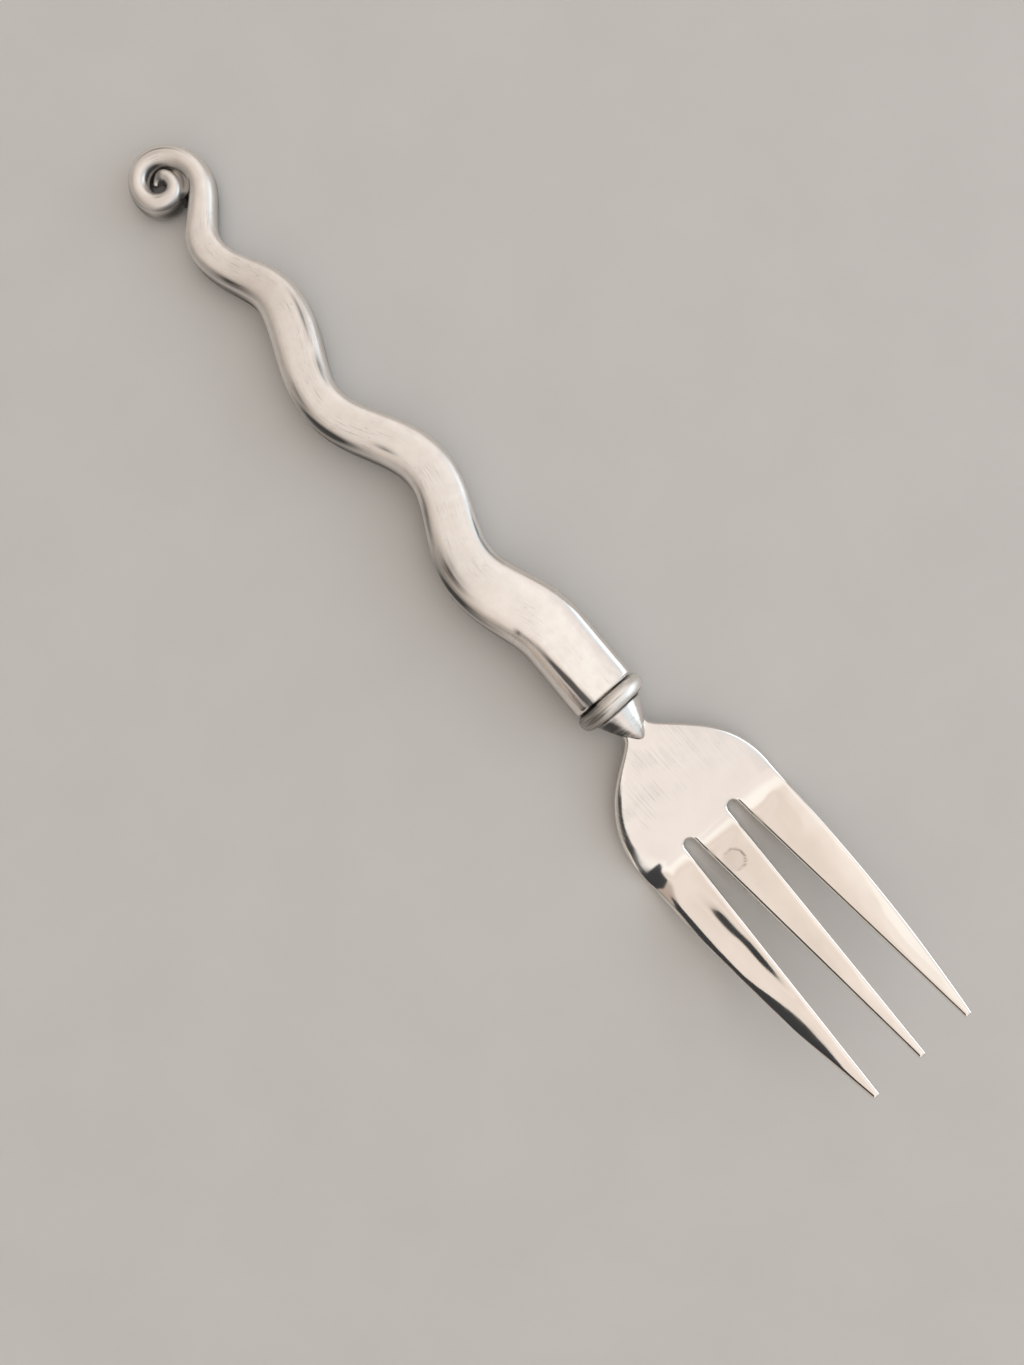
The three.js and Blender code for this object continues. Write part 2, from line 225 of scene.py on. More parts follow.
# Web that closes the scroll's middle. Angles are turned from the scroll's start.
WEB_RADIUS = 5
WEB_LOBE = 2.8  # how far it reaches beyond that radius towards the shank
LOBE_AT = math.radians(15)
LOBE_FADE = (0.6, 0.95)  # cosines of the angles off the lobe's middle where it starts and is full
WEB_MIDDLE = 0.03  # share of its radius where its rings end
WEB_BOTTOM = 0.8
WEB_TOP = 5
PIT_DEPTH = 2.4  # also of the groove that leads into the pit
PIT_FADE = (1.6, 3)  # radii between which the pit ends
GROOVE_START = (40, 95)  # degrees
GROOVE_END = (230, 280)
VALLEY_AT = 5.2
VALLEY_RISE = 0.22  # how steeply the web climbs to the shank beyond that radius
# painted shade over the whole web
WEB_PAINTED_SHADE = 0.5
NOTCH_AT = math.radians(322)  # where more painted shade sits, beside the shank
NOTCH_FADE = (0.8, 0.95)  # cosines, as for the lobe
NOTCH_REACH = (4.5, 6)
# Painted shade in the scroll's groove and pit and on its lower flanks, and a few patina marks: degrees
# turned, place across from outside to inside, length in degrees, breadth and strength
SCROLL_PAINTED_SHADE_AND_PATINA = [
    (125, 0.9, 60, 0.3, 1),
    (440, -0.9, 45, 0.35, 0.9),
    (360, 0.95, 90, 0.25, 0.7),
    (300, -0.85, 50, 0.4, 0.75),
    (205, -0.95, 60, 0.25, 0.75),
    (85, -0.35, 35, 0.06, 0.7),
    (95, -0.1, 25, 0.05, 0.5),
    (280, 0.3, 20, 0.08, 0.5),
    (30, 0.95, 45, 0.3, 0.6),
    (390, -0.95, 40, 0.25, 0.5),
]

# Fineness of the meshes: steps round or across a shape
RIM_STEPS = 8
SIDE_STEPS = 22
MIDDLE_STEPS = 18
ROOT_STEPS = 13
SECTION_STEPS = 84
ROUND_STEPS = 7  # of the handle's front edge and of the scroll's end
FERRULE_STEPS = (40, 96)  # along and round
COLLAR_STEPS = (25, 128)
WEB_STEPS = (40, 120)  # from the rim inwards and round
WALL_STEPS = 96
HALVINGS = 40  # of the stretch in which a point of a curve is sought
# Rows along a shape: how many, or how far apart
TANG_ROWS = 12
NECK_ROWS = 14
CUTTER_ROWS = 160
SCROLL_ROWS = 160
PALM_ROW = 0.4
TINE_ROW = 0.5
ROW_GAP = 0.2  # least gap between those rows and a rim's own
ROOT_EASE = 8  # stretch of the palm over which its rows bend to the slots' round roots
WAVE_ROW = 0.6
LEAD_SHARE = 0.03  # of the lead's length

# Camera: lens and sensor, place from the meshes' own origin, and turn about its view straight down
LENS = 27.03
SENSOR = 36
CAMERA_PLACE = (-29.7, -14.07, 243)
CAMERA_TURN = math.radians(48.45)

# Studio, in metres
FLOOR_REACH = 6
FLOOR_DROP = 0.0002
WALL_RADIUS = 5.8
WALL_HEIGHT = 2.4
WINDOW_SIZE = (0.9, 0.4)
WINDOW_PLACE = (0.367, 0.705, 0.29)
WINDOW_SPREAD = math.radians(100)
PICTURE_LEFT = (-0.6633, -0.7484, 0)  # direction

# Light and tones of the studio
WINDOW_POWER = 0.6  # watts
WINDOW_TONE = (0.8, 0.9, 1)
FLOOR_TONES = [(0.3, (0.61, 0.6, 0.58)), (0.7, (0.63, 0.62, 0.6))]
WALL_TONE = (0.8, 0.78, 0.75)
CARD_TONE = (0.06, 0.07, 0.085)
MATT_ROUGHNESS = 0.9
MATT_SPECULAR = 0.1  # of the floor and the wall
ROOM_STRENGTH = 1.15
# Tones of the room, from right (-1) to left (1) of the picture
ROOM = [
    (-0.9, (0.72, 0.77, 0.81)),
    (-0.56, (0.76, 0.83, 0.88)),
    (-0.51, (0.62, 0.6, 0.6)),
    (-0.46, (0.86, 0.79, 0.76)),
    (-0.3, (0.86, 0.79, 0.76)),
    (-0.14, (0.98, 0.95, 0.92)),
    (0, (0.96, 0.91, 0.86)),
    (0.12, (0.8, 0.71, 0.65)),
    (0.18, (0.75, 0.66, 0.6)),
    (0.24, (0.82, 0.74, 0.69)),
    (0.32, (0.74, 0.66, 0.6)),
    (0.45, (0.5, 0.45, 0.39)),
    (0.6, (0.46, 0.36, 0.32)),
    (0.7, (0.34, 0.31, 0.27)),
    (0.9, (0.22, 0.2, 0.17)),
]
# Corners of the dark card in plan, and its height above the table, in millimetres
CARD = [
    (-26, -74),
    (-12, -60),
    (-4, -46),
    (98, -46),
    (106, -74),
    (140, -86),
    (140, -170),
    (-4, -170),
    (-12, -90),
]
CARD_HEIGHT = 120

# Places along the tang
TIP_X = PALM_LENGTH + TINE_LENGTH
SLOT_ROOT = SLOT_WIDTH / 2
TINE_START = PALM_LENGTH + SLOT_ROOT
FERRULE_BACK = -FERRULE_REACH
COLLAR_FRONT = FERRULE_BACK - CLEARANCE
COLLAR_BACK = COLLAR_FRONT - COLLAR_THICKNESS
HANDLE_FRONT = COLLAR_BACK - CLEARANCE
TANG_END = HANDLE_FRONT - TANG_LENGTH
FERRULE_TIP = FERRULE_BACK + FERRULE_LENGTH
NECK_END = FERRULE_TIP - NECK_REACH
SHOULDER_AT = WIDEST_AT - SHOULDER_EASE
SOCKET_END = TANG_END - CEMENT_WALL
CUTTER_END = TIP_X * 0.4  # well past the ferrule

# Where the meshes are moved to, taken from the frame's own pieces
head_low, head_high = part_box("fork_head")
ferrule_low, ferrule_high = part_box("ferrule")
ORIGIN = np.array([head_high.x - TIP_X * MM, (ferrule_low.y + ferrule_high.y) / 2, 0])


def smoothstep(value, low, high):
    share = np.clip((np.asarray(value, dtype=float) - low) / (high - low), 0, 1)
    return share * share * (3 - 2 * share)


def eased(value, table):
    """A size along a row of (place, size) pairs, eased in and out at each place."""
    value = np.asarray(value, dtype=float)
    result = np.full(value.shape, float(table[0][1]))
    for (low, low_size), (high, high_size) in zip(table, table[1:]):
        result += (high_size - low_size) * smoothstep(value, low, high)
    return result


def bezier(controls, share):
    rows = [np.multiply.outer(np.ones_like(share), np.asarray(c, dtype=float)) for c in controls]
    while len(rows) > 1:
        rows = [a + (b - a) * share[..., None] for a, b in zip(rows, rows[1:])]
    return rows[0]


def bezier_over(x, controls):
    """Second coordinate of a Bezier curve whose first coordinate only grows, at each x."""
    low = np.zeros_like(x)
    high = np.ones_like(x)
    for _ in range(HALVINGS):
        middle = (low + high) / 2
        short = bezier(controls, middle)[..., 0] < x
        low = np.where(short, middle, low)
        high = np.where(short, high, middle)
    return bezier(controls, low)[..., 1]


def ripple(points, size, shift):
    """Smooth bumps of about a given size, between -1 and 1, at each point."""
    return np.array([noise.noise(Vector(p) / size + Vector((shift, 0, 0))) for p in points])


# Head in plan

def tip_corner(x):
    beyond = np.clip(x - (TIP_X - TIP_CORNER), 0, TIP_CORNER)
    return TIP_CORNER - np.sqrt(TIP_CORNER ** 2 - beyond ** 2)


def outer_edge(x):
    edge = HEAD_WIDTH / 2
    neck = NECK_WIDTH / 2
    tip = (TIP_X - TIP_CORNER, TIP_SPACING + TIP_WIDTH / 2)
    shoulder = [(NECK_END, neck), (NECK_END + NECK_EASE, neck), (SHOULDER_AT, edge), (WIDEST_AT, edge)]
    side = [(WIDEST_AT, edge), (WIDEST_AT + EDGE_EASE, edge), tip]
    palm = bezier_over(np.clip(x, NECK_END, WIDEST_AT), shoulder)
    tine = bezier_over(np.clip(x, WIDEST_AT, tip[0]), side) - tip_corner(x)
    width = np.where(x < WIDEST_AT, palm, tine)
    return np.where(x < COLLAR_BACK, TANG_WIDTH / 2, width)


def slot_edges(x):
    """The two edges of one slot. In the palm, where there is no slot, they follow the outline."""
    share = np.clip((x - TINE_START) / (TIP_X - TIP_CORNER - TINE_START), 0, 1)
    near = SLOT_SPACING / 2 - SLOT_ROOT
    far = SLOT_SPACING / 2 + SLOT_ROOT
    narrowing = np.where(x < TINE_START, outer_edge(x) / outer_edge(np.array([TINE_START])), 1)
    inner = near + (TIP_WIDTH / 2 - near) * share - tip_corner(x)
    outer = far + (TIP_SPACING - TIP_WIDTH / 2 - far) * share + tip_corner(x)
    return inner * narrowing, outer * narrowing


def rim_shares():
    """Places over the width of a rounded edge, closer together at its outside."""
    return 1 - np.cos(np.linspace(0, math.pi / 2, RIM_STEPS))


def spread(low, high, steps):
    """Columns between two edges, closer together along both."""
    shares = rim_shares()
    rim = np.minimum(RIM, RIM_SHARE * (high - low))[:, None]
    first = low[:, None] + rim * shares
    last = high[:, None] - rim * shares[::-1]
    inner = np.linspace(0, 1, steps + 1)[1:-1]
    middle = first[:, -1:] + (last[:, :1] - first[:, -1:]) * inner
    return np.hstack([first, middle, last])


def quads(grid):
    corners = [grid[:-1, :-1], grid[1:, :-1], grid[1:, 1:], grid[:-1, 1:]]
    return np.stack([corner.ravel() for corner in corners], axis=1)


def head_grid():
    """Points in plan, measured from the head's own axis, and the four-sided faces between them."""
    rim_rows = RIM * rim_shares()[::-1]
    step = 0.02
    rows = np.concatenate([
        np.linspace(TANG_END, COLLAR_BACK - step, TANG_ROWS),
        np.linspace(COLLAR_BACK + step, NECK_END, NECK_ROWS),
        np.arange(NECK_END + PALM_ROW, TINE_START - RIM - ROW_GAP, PALM_ROW),
        TINE_START - rim_rows,
    ])
    inner, outer = slot_edges(rows)
    side = spread(outer, outer_edge(rows), SIDE_STEPS)
    middle = spread(-inner, inner, MIDDLE_STEPS)
    turn = np.linspace(-math.pi / 2, math.pi / 2, ROOT_STEPS)[1:-1]
    slot = ((inner + outer) / 2)[:, None] + ((outer - inner) / 2)[:, None] * np.sin(turn)
    across = np.hstack([-side[:, ::-1], -slot[:, ::-1], middle, slot, side])
    along = np.repeat(rows[:, None], across.shape[1], axis=1)
    root = SLOT_ROOT * np.cos(turn) * smoothstep(rows, TINE_START - ROOT_EASE, TINE_START)[:, None]
    bands = np.cumsum([side.shape[1], len(turn), middle.shape[1], len(turn), side.shape[1]])
    along[:, bands[0]:bands[1]] -= root[:, ::-1]
    along[:, bands[2]:bands[3]] -= root

    points = [np.stack([along.ravel(), across.ravel()], axis=1)]
    index = np.arange(along.size).reshape(along.shape)
    faces = [quads(index)]
    count = along.size
    plain_rows = np.arange(TINE_START + TINE_ROW, TIP_X - RIM - ROW_GAP, TINE_ROW)
    rows = np.concatenate([plain_rows, TIP_X - rim_rows])
    inner, outer = slot_edges(rows)
    side = spread(outer, outer_edge(rows), SIDE_STEPS)
    strips = [
        (slice(0, bands[0]), -side[:, ::-1]),
        (slice(bands[1], bands[2]), spread(-inner, inner, MIDDLE_STEPS)),
        (slice(bands[3], bands[4]), side),
    ]
    for columns, across in strips:
        along = np.repeat(rows[:, None], across.shape[1], axis=1)
        points.append(np.stack([along.ravel(), across.ravel()], axis=1))
        grid = np.arange(count, count + across.size).reshape(across.shape)
        faces.append(quads(np.vstack([index[-1:, columns], grid])))
        count += across.size
    return np.vstack(points), np.vstack(faces)


def open_edges(faces):
    """The edges that belong to one face only, as pairs of points."""
    edges = np.vstack([faces[:, [i, (i + 1) % 4]] for i in range(4)])
    edges.sort(axis=1)
    pairs, uses = np.unique(edges, axis=0, return_counts=True)
    return pairs[uses == 1]


def distance_to(points, edges):
    """How far each point lies from the nearest of some edges, in plan."""
    start = points[edges[:, 0]]
    step = points[edges[:, 1]] - start
    length = np.maximum((step ** 2).sum(axis=1), 1e-12)
    nearest = np.empty(len(points))
    block = 1000  # points at a time
    for first in range(0, len(points), block):
        away = points[first:first + block, None, :] - start
        share = np.clip((away * step).sum(axis=2) / length, 0, 1)
        gap = away - share[..., None] * step
        nearest[first:first + block] = np.sqrt((gap ** 2).sum(axis=2)).min(axis=1)
    return nearest


# Head in profile

def belly_touch(point, centre, side):
    away = centre - point
    turn = side * math.asin(BELLY_RADIUS / abs(away))
    reach = math.sqrt(abs(away) ** 2 - BELLY_RADIUS ** 2)
    return point + away / abs(away) * complex(math.cos(turn), math.sin(turn)) * reach


def upper_face(x):
    level = AXIS_HEIGHT + SHEET / 2
    corner = complex(NECK_BEND_AT, level)
    tip = complex(TIP_X, TIP_HEIGHT)
    belly = complex(BELLY_AT, BELLY_GAP + SHEET + BELLY_RADIUS)
    down = belly_touch(corner, belly, -1)
    up = belly_touch(tip, belly, 1)
    dip = (down - corner) / abs(down - corner)
    bend = NECK_BEND_RADIUS * math.tan(math.atan2(-dip.imag, dip.real) / 2)
    bend_start = NECK_BEND_AT - bend
    bend_end = corner + dip * bend
    past_bend = np.clip(x - bend_start, 0, NECK_BEND_RADIUS)
    past_belly = np.clip(x - BELLY_AT, -BELLY_RADIUS, BELLY_RADIUS)
    height = level - NECK_BEND_RADIUS + np.sqrt(NECK_BEND_RADIUS ** 2 - past_bend ** 2)
    height = np.where(x > bend_end.real, level + (x - corner.real) * dip.imag / dip.real, height)
    round_belly = belly.imag - np.sqrt(BELLY_RADIUS ** 2 - past_belly ** 2)
    height = np.where(x > down.real, round_belly, height)
    rise = (tip.imag - up.imag) / (tip.real - up.real)
    return np.where(x > up.real, up.imag + (x - up.real) * rise, height)


def sheet_at(x):
    return SHEET + (TIP_SHEET - SHEET) * np.clip((x - PALM_LENGTH) / TINE_LENGTH, 0, 1)


def tine_crown(x, side):
    """The tines are a little higher along their middles."""
    inner, outer = slot_edges(x)
    edge = outer_edge(x)
    on_middle = np.abs(side) < (inner + outer) / 2
    middle = np.where(on_middle, 0, (outer + edge) / 2)
    half = np.where(on_middle, inner, (edge - outer) / 2)
    share = np.clip((np.abs(side) - middle) / half, -1, 1)
    return CROWN * share ** 2 * half / CROWN_WIDTH * smoothstep(x, *CROWN_FADE)


def edge_roll(x, side, edge_gap):
    """The outer edges are ground down over a strip that is broad at the roots and near the tips."""
    breadth = eased(x, EDGE_STRIP[:, [0, 1]])
    far = FAR_EDGE + FAR_EDGE_GAIN * smoothstep(x, *FAR_EDGE_FADE)
    depth = eased(x, EDGE_STRIP[:, [0, 2]]) * np.where(side < 0, 1, far)
    return depth * np.clip(1 - edge_gap / breadth, 0, 1) ** EDGE_CURVE


def root_troughs(x, side):
    """Beyond its crease each tine dips before it rises."""
    inner, outer = slot_edges(x)
    split = (inner + outer) / 2
    tine = np.where(np.abs(side) < split, 0, np.sign(side)).astype(int)
    crease = np.choose(tine + 1, [CREASES[-1], CREASES[0], CREASES[1]])
    share = np.clip((x - crease) / TROUGH_LENGTH, 0, 1)
    reach = np.where(tine == 0, 1, 1 - smoothstep(np.abs(side), *TROUGH_FADE))
    dip = share * (1 - share) ** 2 * 27 / 4  # 1 where it is deepest
    return TROUGH_DEPTH * dip * reach


def tine_hollow(x, side):
    """One outer tine is hollow up to a slope along its inner edge."""
    inner, outer = slot_edges(x)
    edge = outer_edge(x)
    share = np.clip((edge + side) / (edge - outer), 0, 1)
    depth, start, end = [eased(x, HOLLOW[:, [0, i]]) for i in (1, 2, 3)]
    return depth * (side < -(inner + outer) / 2) * (1 - smoothstep(share, start, end))


def dent(x, side):
    away = np.hypot(x - DENT_AT[0], side - DENT_AT[1]) / DENT_RADIUS
    return DENT_DEPTH * np.clip(1 - away ** 2, 0, 1) ** 2


def head_piece(material):
    plan, faces = head_grid()
    x = plan[:, 0]
    side = plan[:, 1]
    edges = open_edges(faces)
    on_side = np.isclose(np.abs(side), outer_edge(x), atol=1e-4) & (x < TIP_X - TIP_CORNER)
    outside = edges[on_side[edges].all(axis=1)]
    gap = distance_to(plan, edges)
    edge_gap = distance_to(plan, outside)
    rounding = np.sqrt(1 - (1 - np.clip(gap / RIM, 0, 1)) ** 2)
    half = sheet_at(x) / 2
    middle = upper_face(x) - half
    flat = np.stack([x, side, np.zeros_like(x)], axis=1)
    polish = sum(depth * ripple(flat, size, shift) for depth, size, shift in POLISH)
    fade = smoothstep(x, *RELIEF_FADE)
    relief = tine_crown(x, side) + root_troughs(x, side) + tine_hollow(x, side) + dent(x, side)
    relief += edge_roll(x, side, edge_gap) + np.maximum(polish, -POLISH_RISE)
    drop = np.clip(relief * fade, 0, None)
    top = middle + rounding * (half - drop)
    bottom = middle - rounding * half
    place = side - HEAD_OFFSET * smoothstep(x, NECK_END, SHOULDER_AT)
    count = len(plan)
    rim = np.zeros(count, dtype=bool)
    rim[np.unique(edges)] = True
    under = np.arange(count)
    under[~rim] = count + np.arange((~rim).sum())
    points = np.vstack([
        np.stack([x, place, top], axis=1),
        np.stack([x, place, bottom], axis=1)[~rim],
    ])
    skins = np.vstack([faces, under[faces][:, ::-1]]).tolist()
    brushed = 1 - BRUSHED_LOSS * smoothstep(x, *BRUSHED_FADE)
    away = np.hypot(x - DENT_AT[0], side - DENT_AT[1])
    facing = np.arctan2(side - DENT_AT[1], x - DENT_AT[0])
    # the line round the dent is a mark, and its swing round the dent is painted shade
    strength, swing = DENT_SWING
    mark = np.exp(-((away - DENT_RADIUS) / DENT_LINE) ** 2) * (strength + swing * np.sin(facing))
    mark = np.maximum(mark, DENT_TONE * (away < DENT_RADIUS))
    attributes = {
        "brushed": np.concatenate([brushed, brushed[~rim]]),
        "mark": np.concatenate([mark, np.zeros((~rim).sum())]),
    }
    return add_piece("fork_head_fine", points, skins, attributes, material)


# Meshes

def finish_mesh(mesh, attributes):
    """Store values at each point, and smooth the faces apart from sharp edges."""
    for key, values in attributes.items():
        layer = mesh.attributes.new(key, "FLOAT", "POINT")
        layer.data.foreach_set("value", np.asarray(values, dtype=np.float32))
    mesh.shade_smooth()
    mesh.set_sharp_from_angle(angle=SHARP_ANGLE)


def add_piece(name, points, faces, attributes, material):
    mesh = bpy.data.meshes.new(name)
    mesh.from_pydata((np.asarray(points) * MM + ORIGIN).tolist(), [], faces)
    finish_mesh(mesh, attributes)
    mesh.materials.append(material)
    piece = bpy.data.objects.new(name, mesh)
    bpy.context.scene.collection.objects.link(piece)
    return piece


def fan(centre, ring):
    """Three-sided faces from one point to a ring of points."""
    pairs = np.stack([ring, np.roll(ring, -1)], axis=1)
    return [(centre, first, second) for first, second in pairs.tolist()]


# Turned pieces

def lathe(profile, back, height, width, steps):
    """Points and faces of a closed turned shape along the tang, from (radius, along) pairs."""
    profile = np.asarray(profile, dtype=float)
    turn = np.linspace(0, 2 * math.pi, steps, endpoint=False)
    radius = profile[1:-1, :1]
    x = np.repeat(back + profile[1:-1, 1:], steps, axis=1)
    y = radius * np.sin(turn)
    z = AXIS_HEIGHT + radius * np.cos(turn) * height / width
    points = np.stack([x, y, z], axis=2).reshape(-1, 3)
    index = np.arange(len(points)).reshape(-1, steps)
    faces = quads(np.hstack([index, index[:, :1]])).tolist()
    first = len(points)
    ends = [(back + profile[0, 1], 0, AXIS_HEIGHT), (back + profile[-1, 1], 0, AXIS_HEIGHT)]
    points = np.vstack([points, ends])
    return points, faces + fan(first, index[0]) + fan(first + 1, index[-1][::-1])


def neck_cutter():
    """A strip round the bent neck with room on every side, as an object to cut with."""
    rows = np.linspace(TANG_END, CUTTER_END, CUTTER_ROWS)
    top = upper_face(rows) + CLEARANCE
    bottom = upper_face(rows) - sheet_at(rows) - CLEARANCE
    half = NECK_WIDTH / 2 + CLEARANCE
    corners = [(-half, bottom), (half, bottom), (half, top), (-half, top)]
    points = np.stack([np.stack([rows, np.full_like(rows, y), z], axis=1) for y, z in corners], axis=1)
    index = np.arange(len(rows) * 4).reshape(-1, 4)
    faces = quads(np.hstack([index, index[:, :1]])).tolist()
    faces.append(index[0].tolist())
    faces.append(index[-1][::-1].tolist())
    mesh = bpy.data.meshes.new("neck_cutter")
    mesh.from_pydata((points.reshape(-1, 3) * MM + ORIGIN).tolist(), [], faces)
    cutter = bpy.data.objects.new("neck_cutter", mesh)
    bpy.context.scene.collection.objects.link(cutter)
    return cutter


def cut(piece, cutter):
    modifier = piece.modifiers.new("slot", "BOOLEAN")
    modifier.operation = "DIFFERENCE"
    modifier.solver = "EXACT"
    modifier.object = cutter
    depsgraph = bpy.context.evaluated_depsgraph_get()
    mesh = bpy.data.meshes.new_from_object(piece.evaluated_get(depsgraph))
    piece.modifiers.clear()
    piece.data = mesh


def mark_turn(piece, seam):
    """Store the place round the tang and along it at each point for the scratches, and the patina at
    the seam with painted shade on the flanks.
    """
    mesh = piece.data
    places = (np.array([v.co for v in mesh.vertices]) - ORIGIN) / MM
    turn = np.arctan2(places[:, 1], places[:, 2] - AXIS_HEIGHT)
    painted_shade_and_patina = SEAM_PATINA * np.exp(-((places[:, 0] - seam) / SEAM_BREADTH) ** 2)
    # painted shade on the flanks, stronger on one side, over the seam's patina
    for side, start, end, strength in SIDE_PAINTED_SHADE:
        painted_shade_and_patina = np.maximum(painted_shade_and_patina, strength * smoothstep(side * turn, start, end))
    attributes = {
        "along": turn * COLLAR_WIDTH / 2 * MM,
        "around": places[:, 0] * MM,
        "painted_shade_and_patina": painted_shade_and_patina,
    }
    finish_mesh(mesh, attributes)


def ferrule_piece(material, cutter):
    rows, steps = FERRULE_STEPS
    shares = 1 - np.linspace(1, 0, rows) ** 2
    profile = [(0, 0)]
    for share in shares[:-1]:
        profile.append((FERRULE_WIDTH / 2 * (1 - share) ** FERRULE_BULGE, share * FERRULE_LENGTH))
    profile.append((0, FERRULE_LENGTH))
    points, faces = lathe(profile, FERRULE_BACK, FERRULE_HEIGHT, FERRULE_WIDTH, steps)
    piece = add_piece("ferrule_fine", points, faces, {}, material)
    cut(piece, cutter)
    mark_turn(piece, FERRULE_BACK)
    return piece


def collar_piece(material, cutter):
    rows, steps = COLLAR_STEPS
    bead = COLLAR_THICKNESS / 2
    profile = [(0, 0)]
    for angle in np.linspace(0, math.pi, rows):
        radius = COLLAR_WIDTH / 2 - bead + bead * math.sin(angle)
        profile.append((radius, bead - bead * math.cos(angle)))
    profile.append((0, COLLAR_THICKNESS))
    points, faces = lathe(profile, COLLAR_BACK, COLLAR_HEIGHT, COLLAR_WIDTH, steps)
    points[:, 2] = np.maximum(points[:, 2], 0)
    piece = add_piece("collar_fine", points, faces, {}, material)
    cut(piece, cutter)
    mark_turn(piece, COLLAR_FRONT)
    return piece


# Handle

def grip_size(at):
    width = eased(at, GRIP[:, [0, 1]])
    height = eased(at, GRIP[:, [0, 2]])
    return np.stack([width, height], axis=1)


def wave_crests():
    crests = [(STRAIGHT_LENGTH, STRAIGHT_OFFSET)]
    for i in range(WAVE_COUNT):
        side = -1 if i % 2 == 0 else 1
        crests.append((FIRST_CREST_AT + i * WAVE_STEP, side * WAVE_HEIGHT))
    crests.append((crests[-1][0] + LEAD_STEP, LEAD_OFFSET))
    return crests


def wave_line():
    crests = wave_crests()
    at = np.arange(FRONT_ROUND, crests[-1][0], WAVE_ROW)
    y = STRAIGHT_OFFSET * np.clip(at / STRAIGHT_LENGTH, 0, 1)
    for (low, low_y), (high, high_y) in zip(crests, crests[1:]):
        share = np.clip((at - low) / (high - low), 0, 1)
        y += (high_y - low_y) * (1 - np.cos(math.pi * share)) / 2
    return np.column_stack([HANDLE_FRONT - at, y, grip_size(at), np.full(len(at), GRIP_SQUARENESS)])


def spline(values, place):
    """A smooth curve through evenly spaced values."""
    last = len(values) - 1
    index = np.clip(np.floor(place).astype(int), 0, last)
    share = (place - index)[:, None]
    near = values[index]
    far = values[np.minimum(index + 1, last)]
    start = (far - values[np.maximum(index - 1, 0)]) / 2
    end = (values[np.minimum(index + 2, last)] - near) / 2
    cubic = (2 * near - 2 * far + start + end) * share ** 3
    square = (-3 * near + 3 * far - 2 * start - end) * share ** 2
    return cubic + square + start * share + near


def scroll_turns():
    return np.linspace(0, SCROLL_TURN, SCROLL_ROWS)


def scroll_line():
    turn = scroll_turns()
    form = spline(SCROLL_FORM, turn / (math.pi / 2)) * (SCROLL_RADIUS, SCROLL_WIDTH, SCROLL_HEIGHT)
    x = HANDLE_FRONT - SCROLL_AT + form[:, 0] * np.cos(SCROLL_START + turn)
    y = SCROLL_OFFSET + form[:, 0] * np.sin(SCROLL_START + turn)
    form[:, 2] *= 1 - TIP_SINK * smoothstep(turn, SCROLL_TURN - TIP_SINK_TURN, SCROLL_TURN)
    return np.column_stack([x, y, form[:, 1:], np.full(len(turn), SCROLL_SQUARENESS)])


def lead_line(scroll):
    at, y = wave_crests()[-1]
    start = np.array([HANDLE_FRONT - at, y])
    end = scroll[0, :2]
    heading = scroll[1, :2] - end
    heading /= np.hypot(*heading)
    share = np.arange(0, 1, LEAD_SHARE)
    line = bezier([start, start - (LEAD_EASE, 0), end - heading * LEAD_EASE, end], share)
    blend = smoothstep(share, 0, 1)[:, None]
    size = np.append(grip_size([at])[0], GRIP_SQUARENESS)
    return np.hstack([line, size * (1 - blend) + scroll[:1, 2:] * blend])


def squared(value, squareness):
    """Part of the way from a circle's sine or cosine to a square's."""
    return np.sign(value) * np.abs(value) ** squareness


def section_angles():
    return np.linspace(FLAT_ANGLE, 2 * math.pi - FLAT_ANGLE, SECTION_STEPS)


def section_rings(line, shrink):
    """One ring of points for each station of a line: an oval that stands on its flat underside."""
    heading = np.gradient(line[:, :2], axis=0)
    heading /= np.hypot(heading[:, 0], heading[:, 1])[:, None]
    angle = section_angles()
    width = line[:, 2:3]
    height = line[:, 3:4]
    squareness = line[:, 4:]
    shrink = shrink[:, None]
    half_height = height / (1 + squared(math.cos(FLAT_ANGLE), squareness))
    across = (width / 2 - shrink) * squared(np.sin(angle), squareness)
    up = height - half_height - (half_height - shrink) * squared(np.cos(angle), squareness)
    x = line[:, :1] - across * heading[:, 1:]
    y = line[:, 1:2] + across * heading[:, :1]
    return np.stack([x, y, up], axis=2)


def front_rings():
    """The rounded edge of the handle's front face."""
    turn = np.linspace(0, math.pi / 2, ROUND_STEPS)[:-1]
    x = HANDLE_FRONT - FRONT_ROUND * (1 - np.cos(turn))
    size = np.repeat(grip_size([0]), len(turn), axis=0)
    line = np.column_stack([x, np.zeros_like(x), size, np.full(len(turn), GRIP_SQUARENESS)])
    return section_rings(line, FRONT_ROUND * (1 - np.sin(turn)))


def tip_rings(scroll):
    """The rounded end of the scroll."""
    heading = scroll[-1, :2] - scroll[-2, :2]
    heading /= np.hypot(*heading)
    turn = np.linspace(0, math.pi / 2, ROUND_STEPS)[1:-1]
    reach = scroll[-1, 2] * TIP_REACH
    line = np.repeat(scroll[-1:], len(turn), axis=0)
    line[:, :2] += np.outer(np.sin(turn) * reach, heading)
    line[:, 2:4] *= np.cos(turn)[:, None]
    rings = section_rings(line, np.zeros(len(turn)))
    rings[:, :, 2] += ((scroll[-1, 3] - line[:, 3]) / 2)[:, None]
    return rings


def socket_rings(front):
    """The socket's end and mouth, as rings with as many points as the sections."""
    half_width = TANG_WIDTH / 2 + CEMENT_WALL
    half_height = SHEET / 2 + CEMENT_WALL
    away = front[:, 1:] - (0, AXIS_HEIGHT)
    reach = np.maximum(np.abs(away[:, 0]) / half_width, np.abs(away[:, 1]) / half_height)
    flat = away / reach[:, None] + (0, AXIS_HEIGHT)
    rings = [np.column_stack([np.full(len(flat), x), flat]) for x in (SOCKET_END, HANDLE_FRONT)]
    return np.stack(rings)


